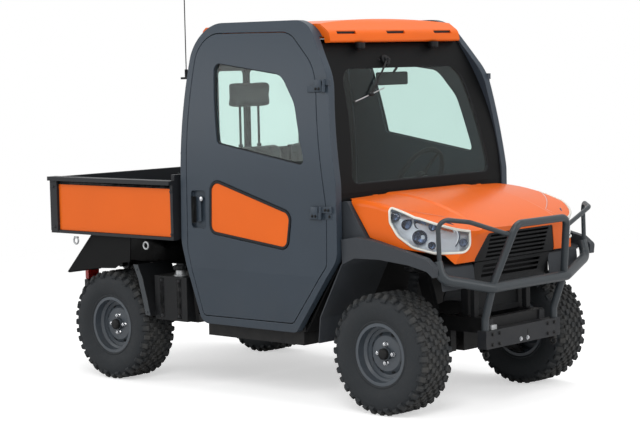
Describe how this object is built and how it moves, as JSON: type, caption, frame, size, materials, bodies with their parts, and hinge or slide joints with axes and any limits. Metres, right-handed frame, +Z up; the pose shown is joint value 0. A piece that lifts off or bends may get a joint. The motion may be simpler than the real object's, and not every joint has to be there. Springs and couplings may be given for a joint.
{
  "type": "side-by-side utility vehicle",
  "caption": "Compact utility vehicle with an enclosed side-by-side cab, tipping cargo bed, front guard and knobby tyres.",
  "frame": {"origin": "on the ground, in the middle of the vehicle's length and width", "axes": "+X to the front, +Y to the driver's left, +Z up"},
  "size_m": [3.06, 1.605, 2.19],
  "materials": {
    "painted_orange": "gloss",
    "cab_grey": "satin",
    "frame_black": "satin",
    "guard_grey": "satin",
    "rim_grey": "satin",
    "tyre": "matte",
    "black_plastic": "matte",
    "cab_glass": "clear",
    "lamp_lens": "clear",
    "red_lens": "gloss",
    "seat_vinyl": "matte",
    "black_rubber": "matte",
    "bright_steel": "polished",
    "engine_metal": "matte"
  },
  "bodies": {
    "chassis": {"antenna": "black_plastic", "cab_floor": "frame_black", "cab_glass": "cab_glass", "cab_rear_wall": "frame_black", "cab_sides": "cab_grey", "crossmembers": "frame_black", "dashboard": "black_plastic", "engine": "engine_metal", "firewall": "frame_black", "frame_brackets": "frame_black", "frame_rails": "frame_black", "front_arms": "frame_black", "front_axle": "frame_black", "front_bumper": "frame_black", "front_fascia": "black_plastic", "front_fenders": "black_plastic", "front_guard": "guard_grey", "hitch_receiver": "frame_black", "interior_mirror": "black_plastic", "radiator": "black_plastic", "rear_axle": "frame_black", "rear_bumper": "frame_black", "roof": "painted_orange", "seat_base": "black_plastic", "seats": "seat_vinyl", "shock_absorbers": "black_rubber", "side_boxes": "black_plastic", "side_sills": "frame_black", "tail_lamps": "red_lens", "windshield_frame": "frame_black", "work_lights": "black_plastic"},
    "hood": {"hood": "painted_orange", "headlamps": "lamp_lens", "grille": "black_plastic"},
    "left_door": {"left_door": "cab_grey", "left_door_glass": "cab_glass", "left_door_insert": "painted_orange"},
    "right_door": {"right_door": "cab_grey", "right_door_glass": "cab_glass", "right_door_insert": "painted_orange"},
    "left_knuckle": {"left_knuckle": "frame_black"},
    "right_knuckle": {"right_knuckle": "frame_black"},
    "steering_wheel": {"steering_wheel": "black_plastic"},
    "bed": {"bed_tub": "frame_black", "bed_panels": "painted_orange", "mudguards": "black_plastic"},
    "tailgate": {"tailgate": "frame_black"},
    "cylinder_barrel": {"cylinder_barrel": "frame_black"},
    "cylinder_rod": {"cylinder_rod": "bright_steel"},
    "left_front_wheel": {"left_front_tyre": "tyre", "left_front_rim": "rim_grey"},
    "right_front_wheel": {"right_front_tyre": "tyre", "right_front_rim": "rim_grey"},
    "left_rear_wheel": {"left_rear_tyre": "tyre", "left_rear_rim": "rim_grey"},
    "right_rear_wheel": {"right_rear_tyre": "tyre", "right_rear_rim": "rim_grey"}
  },
  "joints": [
    {"name": "left_steer", "type": "hinge", "parent": "chassis", "child": "left_knuckle", "pos_m": [0.98, 0.505, 0.205], "axis": [0, -0.1906, 0.9817], "range_deg": [-30, 30]},
    {"name": "right_steer", "type": "hinge", "parent": "chassis", "child": "right_knuckle", "pos_m": [0.98, -0.505, 0.205], "axis": [0, 0.1906, 0.9817], "range_deg": [-30.5, 30.5]},
    {"name": "steering_wheel_turn", "type": "hinge", "parent": "chassis", "child": "steering_wheel", "pos_m": [0.39, 0.38, 1.15], "axis": [-0.9063, 0, 0.4226], "range_deg": [-455, 455]},
    {"name": "left_front_roll", "type": "hinge", "parent": "left_knuckle", "child": "left_front_wheel", "pos_m": [0.98, 0.6, 0.3175], "axis": [0, 1, 0], "continuous": true},
    {"name": "right_front_roll", "type": "hinge", "parent": "right_knuckle", "child": "right_front_wheel", "pos_m": [0.98, -0.6, 0.3175], "axis": [0, 1, 0], "continuous": true},
    {"name": "left_rear_roll", "type": "hinge", "parent": "chassis", "child": "left_rear_wheel", "pos_m": [-1.06, 0.615, 0.3175], "axis": [0, 1, 0], "continuous": true},
    {"name": "right_rear_roll", "type": "hinge", "parent": "chassis", "child": "right_rear_wheel", "pos_m": [-1.06, -0.615, 0.3175], "axis": [0, 1, 0], "continuous": true},
    {"name": "left_door_swing", "type": "hinge", "parent": "chassis", "child": "left_door", "pos_m": [0.64, 0.756, 1.04], "axis": [0, 0.0721, -0.9974], "range_deg": [0, 70]},
    {"name": "right_door_swing", "type": "hinge", "parent": "chassis", "child": "right_door", "pos_m": [0.64, -0.756, 1.04], "axis": [0, 0.0721, 0.9974], "range_deg": [0, 70]},
    {"name": "hood_lift", "type": "hinge", "parent": "chassis", "child": "hood", "pos_m": [0.7395, 0, 1.114], "axis": [0, -1, 0], "range_deg": [0, 50]},
    {"name": "bed_tip", "type": "hinge", "parent": "chassis", "child": "bed", "pos_m": [-1.4, 0, 0.62], "axis": [0, -1, 0], "range_deg": [0, 45]},
    {"name": "tailgate_drop", "type": "hinge", "parent": "bed", "child": "tailgate", "pos_m": [-1.517, 0, 0.838], "axis": [0, -1, 0], "range_deg": [0, 90]},
    {"name": "cylinder_swing", "type": "hinge", "parent": "chassis", "child": "cylinder_barrel", "pos_m": [-1.18, 0, 0.56], "axis": [0, -1, 0], "range_deg": [-0.5, 50.5]},
    {"name": "cylinder_stroke", "type": "slide", "parent": "cylinder_barrel", "child": "cylinder_rod", "axis": [0.8, 0, 0.6], "range_m": [-0.001, 0.172]}
  ],
  "couplings": [
    {"joint": "right_steer", "follows": "left_steer", "ratio": 1},
    {"joint": "steering_wheel_turn", "follows": "left_steer", "ratio": 15},
    {"joint": "cylinder_swing", "follows": "bed_tip", "ratio": 1.1034},
    {"joint": "cylinder_stroke", "follows": "bed_tip", "m_per_rad": 0.2167}
  ]
}
